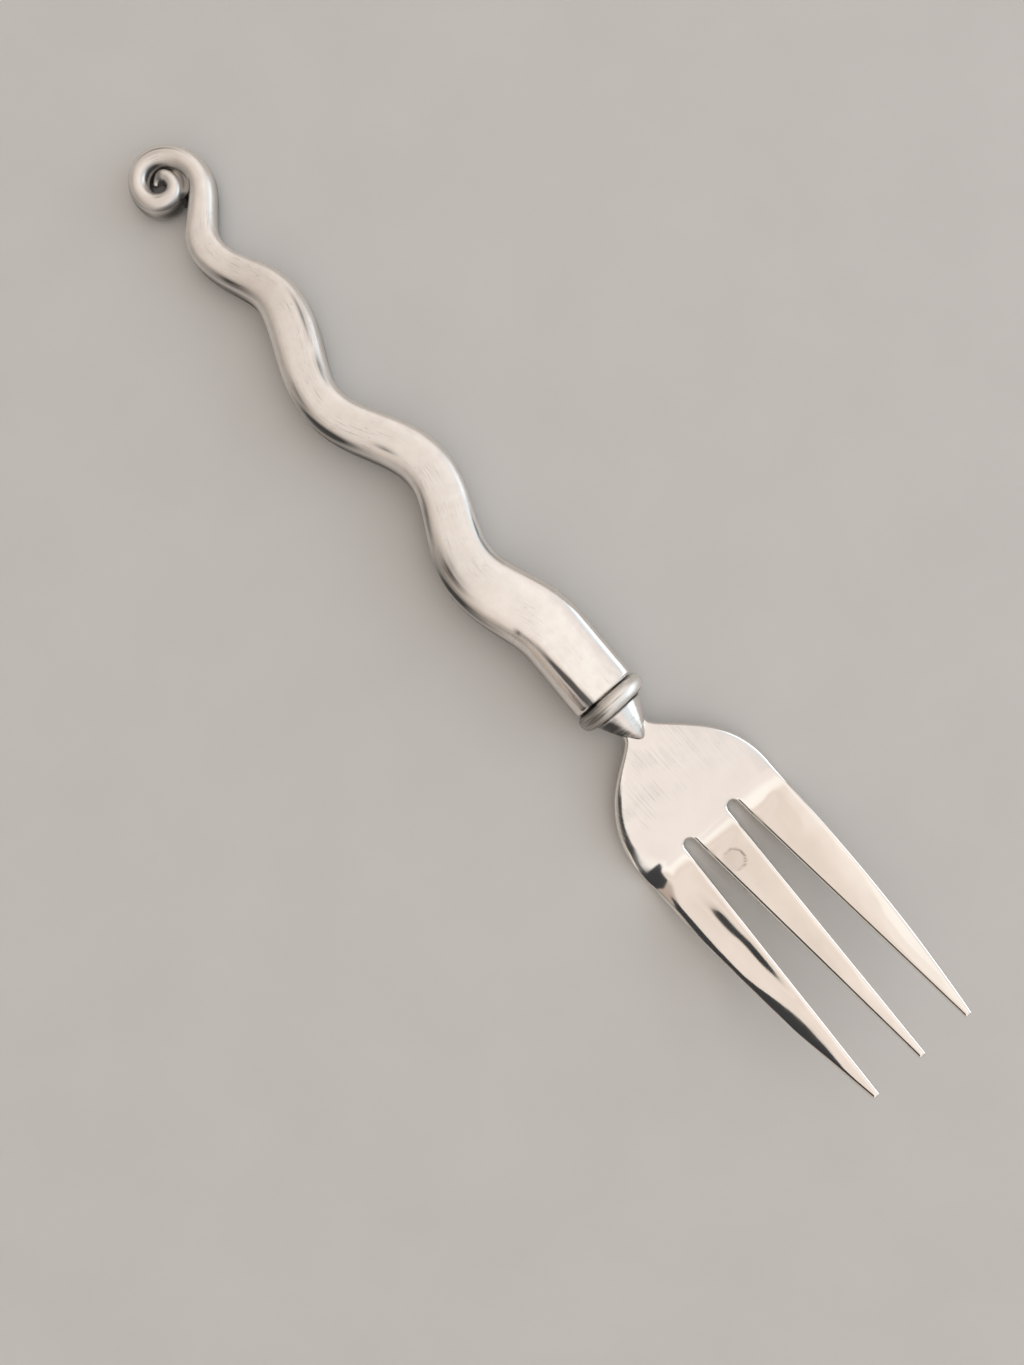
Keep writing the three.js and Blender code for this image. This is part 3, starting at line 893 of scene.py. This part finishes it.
def skin(rings):
    """Faces over a row of rings, with a fan over each end."""
    size = rings.shape[1]
    index = np.arange(rings.shape[0] * size).reshape(-1, size)
    faces = quads(np.hstack([index, index[:, :1]])).tolist()
    points = np.vstack([rings.reshape(-1, 3), rings[0].mean(axis=0), rings[-1].mean(axis=0)])
    first = len(points) - 2
    return points, faces + fan(first, index[0]) + fan(first + 1, index[-1][::-1])


def spots(first, second, marks):
    """Soft spots over a surface with two coordinates, as deep as the deepest at each point."""
    depth = np.zeros(np.broadcast_shapes(first.shape, second.shape))
    for place, middle, length, breadth, strength in marks:
        spot = np.exp(-((first - place) / length) ** 2 - ((second - middle) / breadth) ** 2)
        depth = np.maximum(depth, strength * spot)
    return depth


def painted_shade_and_patina_at(along, across, up):
    """Where dark patina, the painted dark reflection behind the collar and the painted shade on the
    underside sit on the handle: 0 for none, 1 for most.
    """
    # painted dark reflection: a streak behind the collar
    left = np.clip(1 - along / STREAK_LENGTH, 0, 1)
    away = (across - STREAK_AT + STREAK_SHIFT * left ** 2) / (STREAK_BREADTH + STREAK_FLARE * left)
    strength = sum(gain * smoothstep(left, low, high) for gain, low, high in STREAK_GAINS)
    streak = np.exp(-away ** 4) * strength
    # painted shade on the underside, stronger on one side
    underside = smoothstep(-up, -UNDERSIDE_FADE[1], -UNDERSIDE_FADE[0])
    underside = underside * np.where(across > 0, *UNDERSIDE_PAINTED_SHADE)
    return np.maximum.reduce([spots(along, across, MARKS), streak, underside])


def swell(rings, line):
    """Unevenness of the cast surface, away from its front, its underside and the scroll."""
    centre = np.column_stack([line[:, :2], line[:, 3] / 2])[:, None, :]
    away = rings - centre
    away /= np.linalg.norm(away, axis=2)[..., None]
    points = rings.reshape(-1, 3)
    lump = sum(share * ripple(points, size, shift) for share, size, shift in LUMPS)
    behind = HANDLE_FRONT - line[:, 0]
    fade = smoothstep(behind, *LUMP_START) * (1 - smoothstep(behind, *LUMP_END))
    depth = LUMP * lump.reshape(rings.shape[:2]) * fade[:, None]
    return away * (depth * smoothstep(rings[:, :, 2], *LUMP_RISE))[..., None]


def web_disc():
    """The cast web that closes the scroll's middle: its rings and the painted shade on them."""
    rows, steps = WEB_STEPS
    share = np.linspace(1, WEB_MIDDLE, rows)[:, None]
    turn = np.linspace(0, 2 * math.pi, steps, endpoint=False)
    lobe = smoothstep(np.cos(turn - LOBE_AT), *LOBE_FADE)
    radius = share * (WEB_RADIUS + WEB_LOBE * lobe)
    x = radius * np.cos(SCROLL_START + turn)
    y = radius * np.sin(SCROLL_START + turn)
    degrees = np.degrees(turn)
    pit = 1 - smoothstep(radius, *PIT_FADE)
    groove = smoothstep(degrees, *GROOVE_START) * (1 - smoothstep(degrees, *GROOVE_END))
    low = np.maximum(pit, groove)
    bank = VALLEY_RISE * np.clip(radius - VALLEY_AT, 0, None) ** 2
    top = WEB_TOP + bank - PIT_DEPTH * low
    rings = np.stack([HANDLE_FRONT - SCROLL_AT + x, SCROLL_OFFSET + y, top], axis=2)
    foot = rings[:1].copy()
    foot[:, :, 2] = WEB_BOTTOM
    notch = smoothstep(np.cos(turn - NOTCH_AT), *NOTCH_FADE) * smoothstep(radius, *NOTCH_REACH)
    # painted shade, darkest in the pit, the groove and the notch beside the shank
    painted_shade_and_patina = np.maximum.reduce([low, notch, np.full_like(radius, WEB_PAINTED_SHADE)])
    return np.concatenate([foot, rings]), np.concatenate([painted_shade_and_patina[:1], painted_shade_and_patina])


def handle_piece(material):
    scroll = scroll_line()
    line = np.vstack([wave_line(), lead_line(scroll), scroll])
    front = front_rings()
    body = section_rings(line, np.zeros(len(line)))
    body += swell(body, line)
    tip = tip_rings(scroll)
    socket = socket_rings(front[0])
    rings = np.concatenate([socket, front, body, tip])

    step = np.hypot(*np.diff(line[:, :2], axis=0).T)
    run = FRONT_ROUND + np.concatenate([[0], np.cumsum(step)])
    before = np.concatenate([np.zeros(len(socket)), np.linspace(0, FRONT_ROUND, len(front))])
    along = np.concatenate([before, run, np.full(len(tip), run[-1])])[:, None]
    squareness = np.full((len(rings), 1), GRIP_SQUARENESS)
    squareness[len(before):len(before) + len(line)] = line[:, 4:]
    angle = section_angles()
    across = squared(np.sin(angle), squareness)
    painted_shade_and_patina = painted_shade_and_patina_at(along, across, -np.cos(angle))
    on_scroll = slice(len(rings) - len(tip) - len(scroll), len(rings) - len(tip))
    turned = np.degrees(scroll_turns())[:, None]
    # painted shade in the scroll's groove and pit and on its lower flanks, with a few patina marks
    painted_shade_and_patina[on_scroll] = np.maximum(painted_shade_and_patina[on_scroll], spots(turned, across[on_scroll], SCROLL_PAINTED_SHADE_AND_PATINA))
    around = np.cumsum(np.linalg.norm(np.diff(rings, axis=1, prepend=rings[:, :1]), axis=2), axis=1)
    around -= around[:, -1:] / 2

    points, faces = skin(rings)
    web, web_painted_shade = web_disc()
    web_points, web_faces = skin(web)
    faces += [[corner + len(points) for corner in face] for face in web_faces]
    ends = np.zeros(2)
    plain = np.zeros(len(web_points))
    layers = {
        "along": (np.broadcast_to(along, around.shape) * MM, plain),
        "around": (around * MM, plain),
        # patina with painted shade and a painted dark reflection
        "painted_shade_and_patina": (painted_shade_and_patina, np.append(web_painted_shade.ravel(), [0, 1])),
    }
    attributes = {key: np.concatenate([own.ravel(), ends, more]) for key, (own, more) in layers.items()}
    points = np.vstack([points, web_points])
    return add_piece("handle_fine", points, faces, attributes, material)


# Materials

def new_material(name):
    material = bpy.data.materials.new(name)
    material.use_nodes = True
    tree = material.node_tree
    return material, tree, tree.nodes["Principled BSDF"]


def attribute(tree, name):
    node = tree.nodes.new("ShaderNodeAttribute")
    node.attribute_name = name
    return node.outputs["Fac"]


def object_place(tree):
    return tree.nodes.new("ShaderNodeTexCoord").outputs["Object"]


def swept_place(tree):
    """Place along and around a swept piece, for marks that follow it."""
    node = tree.nodes.new("ShaderNodeCombineXYZ")
    tree.links.new(attribute(tree, "along"), node.inputs["X"])
    tree.links.new(attribute(tree, "around"), node.inputs["Y"])
    return node.outputs["Vector"]


def grain(tree, place, scale, turn, detail):
    """Noise with its own scale along each axis, per metre."""
    mapping = tree.nodes.new("ShaderNodeMapping")
    mapping.inputs["Scale"].default_value = scale
    mapping.inputs["Rotation"].default_value = (0, 0, math.radians(turn))
    tree.links.new(place, mapping.inputs["Vector"])
    node = tree.nodes.new("ShaderNodeTexNoise")
    node.inputs["Scale"].default_value = 1
    node.inputs["Detail"].default_value = detail
    tree.links.new(mapping.outputs["Vector"], node.inputs["Vector"])
    return node.outputs["Fac"]


def remap(tree, value, source, target):
    node = tree.nodes.new("ShaderNodeMapRange")
    node.inputs["From Min"].default_value = source[0]
    node.inputs["From Max"].default_value = source[1]
    node.inputs["To Min"].default_value = target[0]
    node.inputs["To Max"].default_value = target[1]
    tree.links.new(value, node.inputs["Value"])
    return node.outputs["Result"]


def combine(tree, operation, first, second):
    node = tree.nodes.new("ShaderNodeMath")
    node.operation = operation
    tree.links.new(first, node.inputs[0])
    tree.links.new(second, node.inputs[1])
    return node.outputs["Value"]


def ramp(tree, value, stops):
    node = tree.nodes.new("ShaderNodeValToRGB")
    elements = node.color_ramp.elements
    while len(elements) < len(stops):
        elements.new(0.5)
    for element, (place, color) in zip(elements, stops):
        element.position = place
        element.color = (*color, 1)
    tree.links.new(value, node.inputs["Fac"])
    return node.outputs["Color"]


def darken(tree, color, dark, share):
    node = tree.nodes.new("ShaderNodeMix")
    node.data_type = "RGBA"
    for socket in node.inputs:
        if socket.identifier == "A_Color":
            tree.links.new(color, socket)
        if socket.identifier == "B_Color":
            socket.default_value = (*dark, 1)
        if socket.identifier == "Factor_Float":
            tree.links.new(share, socket)
    for socket in node.outputs:
        if socket.identifier == "Result_Color":
            return socket


def bump(tree, shader, height, strength, distance):
    node = tree.nodes.new("ShaderNodeBump")
    node.inputs["Strength"].default_value = strength
    node.inputs["Distance"].default_value = distance
    tree.links.new(height, node.inputs["Height"])
    tree.links.new(node.outputs["Normal"], shader.inputs["Normal"])


def polished_steel():
    material, tree, shader = new_material("polished_steel")
    place = object_place(tree)
    cloud = grain(tree, place, (90, 90, 90), 0, 3)
    scratch = grain(tree, place, (60, 5200, 60), 10, 2)
    patch = remap(tree, grain(tree, place, (170, 170, 170), 0, 2), (0.35, 0.65), (0.55, 1.05))
    brushed = combine(tree, "MULTIPLY", attribute(tree, "brushed"), patch)
    worn = combine(tree, "MULTIPLY", brushed, scratch)
    color = ramp(tree, cloud, [(0.3, (0.86, 0.82, 0.77)), (0.7, (0.92, 0.88, 0.83))])
    lines = remap(tree, worn, (0.42, 0.75), (0, 0.22))
    marks = combine(tree, "MAXIMUM", lines, remap(tree, attribute(tree, "mark"), (0, 1), (0, 0.85)))
    tree.links.new(darken(tree, color, (0.25, 0.22, 0.19), marks), shader.inputs["Base Color"])
    tree.links.new(remap(tree, worn, (0, 0.8), (0.1, 0.32)), shader.inputs["Roughness"])
    shader.inputs["Metallic"].default_value = 1
    bump(tree, shader, worn, 0.35, 0.00008)
    return material


def cast_metal():
    material, tree, shader = new_material("cast_metal")
    place = object_place(tree)
    swept = swept_place(tree)
    cloud = grain(tree, place, (110, 110, 110), 0, 4)
    mottle = grain(tree, place, (420, 420, 420), 0, 5)
    streak = grain(tree, swept, (60, 900, 1), 0, 4)
    scratch = grain(tree, swept, (130, 3600, 1), 0, 4)
    cross = grain(tree, swept, (500, 2600, 1), 24, 3)
    # patina with painted shade and a painted dark reflection, broken up by streaky noise
    painted_shade_and_patina = attribute(tree, "painted_shade_and_patina")
    grime_and_painted_shade = combine(tree, "MULTIPLY", painted_shade_and_patina, remap(tree, streak, (0.32, 0.6), (0.45, 1.4)))
    worn = combine(tree, "ADD", remap(tree, cloud, (0.46, 0.62), (0.03, 0.7)), painted_shade_and_patina)
    line = combine(tree, "MULTIPLY", remap(tree, scratch, (0.58, 0.7), (0, 0.55)), worn)
    nick = combine(tree, "MULTIPLY", remap(tree, cross, (0.62, 0.72), (0, 0.45)), worn)
    dark = combine(tree, "MAXIMUM", combine(tree, "MAXIMUM", grime_and_painted_shade, line), nick)
    color = ramp(tree, mottle, [(0.3, (0.83, 0.79, 0.75)), (0.7, (0.89, 0.86, 0.82))])
    tree.links.new(darken(tree, color, (0.1, 0.1, 0.1), dark), shader.inputs["Base Color"])
    rough = remap(tree, attribute(tree, "along"), (0.015, 0.045), (0.22, 0.4))
    uneven = remap(tree, cloud, (0.3, 0.7), (-0.05, 0.05))
    tree.links.new(combine(tree, "ADD", rough, uneven), shader.inputs["Roughness"])
    shader.inputs["Metallic"].default_value = 1
    bump(tree, shader, streak, 0.3, 0.0001)
    return material


def worn_metal():
    material, tree, shader = new_material("worn_metal")
    cloud = grain(tree, object_place(tree), (160, 160, 160), 0, 4)
    scratch = grain(tree, swept_place(tree), (90, 1800, 1), 0, 3)
    stops = [(0.32, (0.42, 0.4, 0.37)), (0.45, (0.8, 0.77, 0.73)), (0.7, (0.9, 0.87, 0.84))]
    color = ramp(tree, scratch, stops)
    broken = remap(tree, scratch, (0.3, 0.65), (1, 0.45))
    # seam patina and painted shade on the collar's flanks
    grime_and_painted_shade = combine(tree, "MULTIPLY", attribute(tree, "painted_shade_and_patina"), broken)
    tree.links.new(darken(tree, color, (0.08, 0.07, 0.06), grime_and_painted_shade), shader.inputs["Base Color"])
    tree.links.new(remap(tree, cloud, (0.3, 0.7), (0.38, 0.5)), shader.inputs["Roughness"])
    shader.inputs["Metallic"].default_value = 1
    bump(tree, shader, scratch, 0.35, 0.00015)
    return material


def setting_compound():
    material, tree, shader = new_material("setting_compound")
    speckle = grain(tree, object_place(tree), (1200, 1200, 1200), 0, 4)
    color = ramp(tree, speckle, [(0.3, (0.25, 0.23, 0.2)), (0.7, (0.4, 0.37, 0.33))])
    tree.links.new(color, shader.inputs["Base Color"])
    shader.inputs["Roughness"].default_value = 0.9
    bump(tree, shader, speckle, 0.4, 0.0002)
    return material


# Stage

def add_sheet(name, points, faces):
    """A sheet of the studio with its own matt material, and the parts of that to colour it with."""
    mesh = bpy.data.meshes.new(name)
    mesh.from_pydata(points, [], faces)
    mesh.shade_smooth()
    sheet = bpy.data.objects.new(name, mesh)
    bpy.context.scene.collection.objects.link(sheet)
    material, tree, shader = new_material(name)
    shader.inputs["Roughness"].default_value = MATT_ROUGHNESS
    mesh.materials.append(material)
    return sheet, tree, shader


def add_floor():
    corners = [(-FLOOR_REACH, -FLOOR_REACH, 0), (FLOOR_REACH, -FLOOR_REACH, 0)]
    corners += [(FLOOR_REACH, FLOOR_REACH, 0), (-FLOOR_REACH, FLOOR_REACH, 0)]
    floor, tree, shader = add_sheet("floor", corners, [(0, 1, 2, 3)])
    floor.location.z = -FLOOR_DROP
    cloud = grain(tree, object_place(tree), (40, 40, 40), 0, 3)
    tree.links.new(ramp(tree, cloud, FLOOR_TONES), shader.inputs["Base Color"])
    shader.inputs["Specular IOR Level"].default_value = MATT_SPECULAR


def add_backdrop():
    """A plain pale wall round the floor."""
    turn = np.linspace(0, 2 * math.pi, WALL_STEPS, endpoint=False)
    ring = np.stack([np.cos(turn), np.sin(turn), np.zeros_like(turn)], axis=1) * WALL_RADIUS
    index = np.arange(2 * len(turn)).reshape(2, -1)
    points = np.vstack([ring, ring + (0, 0, WALL_HEIGHT)]).tolist()
    faces = quads(np.hstack([index, index[:, :1]])).tolist()
    backdrop, _, shader = add_sheet("backdrop", points, faces)
    shader.inputs["Base Color"].default_value = (*WALL_TONE, 1)
    shader.inputs["Specular IOR Level"].default_value = MATT_SPECULAR


def add_world():
    """A soft room, bright overhead and darker to the left of the picture."""
    world = bpy.data.worlds.new("room")
    bpy.context.scene.world = world
    world.use_nodes = True
    tree = world.node_tree
    direction = tree.nodes.new("ShaderNodeTexCoord").outputs["Generated"]
    leftness = tree.nodes.new("ShaderNodeVectorMath")
    leftness.operation = "DOT_PRODUCT"
    leftness.inputs[1].default_value = PICTURE_LEFT
    tree.links.new(direction, leftness.inputs[0])
    share = remap(tree, leftness.outputs["Value"], (-1, 1), (0, 1))
    color = ramp(tree, share, [((place + 1) / 2, tone) for place, tone in ROOM])
    room = tree.nodes["Background"]
    room.inputs["Strength"].default_value = ROOM_STRENGTH
    tree.links.new(color, room.inputs["Color"])


def add_card():
    """A dark card over one side of the head, seen only in reflections."""
    corners = np.array([(x, y, CARD_HEIGHT) for x, y in CARD]) * MM + ORIGIN
    card, _, shader = add_sheet("card", corners.tolist(), [list(range(len(CARD)))])
    shader.inputs["Base Color"].default_value = (*CARD_TONE, 1)
    card.visible_camera = False
    card.visible_diffuse = False
    card.visible_shadow = False


def add_window():
    """A broad soft lamp to the right of the picture."""
    lamp = bpy.data.lights.new("window", "AREA")
    lamp.shape = "RECTANGLE"
    lamp.size, lamp.size_y = WINDOW_SIZE
    lamp.spread = WINDOW_SPREAD
    lamp.energy = WINDOW_POWER
    lamp.color = WINDOW_TONE
    window = bpy.data.objects.new("window", lamp)
    bpy.context.scene.collection.objects.link(window)
    window.location = WINDOW_PLACE
    window.rotation_euler = (-window.location).to_track_quat("-Z", "Y").to_euler()


def add_camera():
    lens = bpy.data.cameras.new("camera")
    lens.lens = LENS
    lens.sensor_width = SENSOR
    camera = bpy.data.objects.new("camera", lens)
    bpy.context.scene.collection.objects.link(camera)
    camera.location = ORIGIN + np.array(CAMERA_PLACE) * MM
    camera.rotation_euler = (0, 0, CAMERA_TURN)
    bpy.context.scene.camera = camera


# Pieces

def take_over(piece, node):
    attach(piece, "root")
    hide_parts(node)


def dress(node, material):
    """Give a piece of the frame that stays its own material."""
    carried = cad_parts[node]
    carried.data.materials.clear()
    carried.data.materials.append(material)


cast = cast_metal()
cutter = neck_cutter()
take_over(head_piece(polished_steel()), "fork_head")
take_over(ferrule_piece(cast, cutter), "ferrule")
take_over(collar_piece(worn_metal(), cutter), "collar_ring")
take_over(handle_piece(cast), "handle")
bpy.data.objects.remove(cutter)
dress("tang_cement", setting_compound())
add_floor()
add_backdrop()
add_world()
add_card()
add_window()
add_camera()
bpy.context.scene.view_settings.view_transform = "Standard"
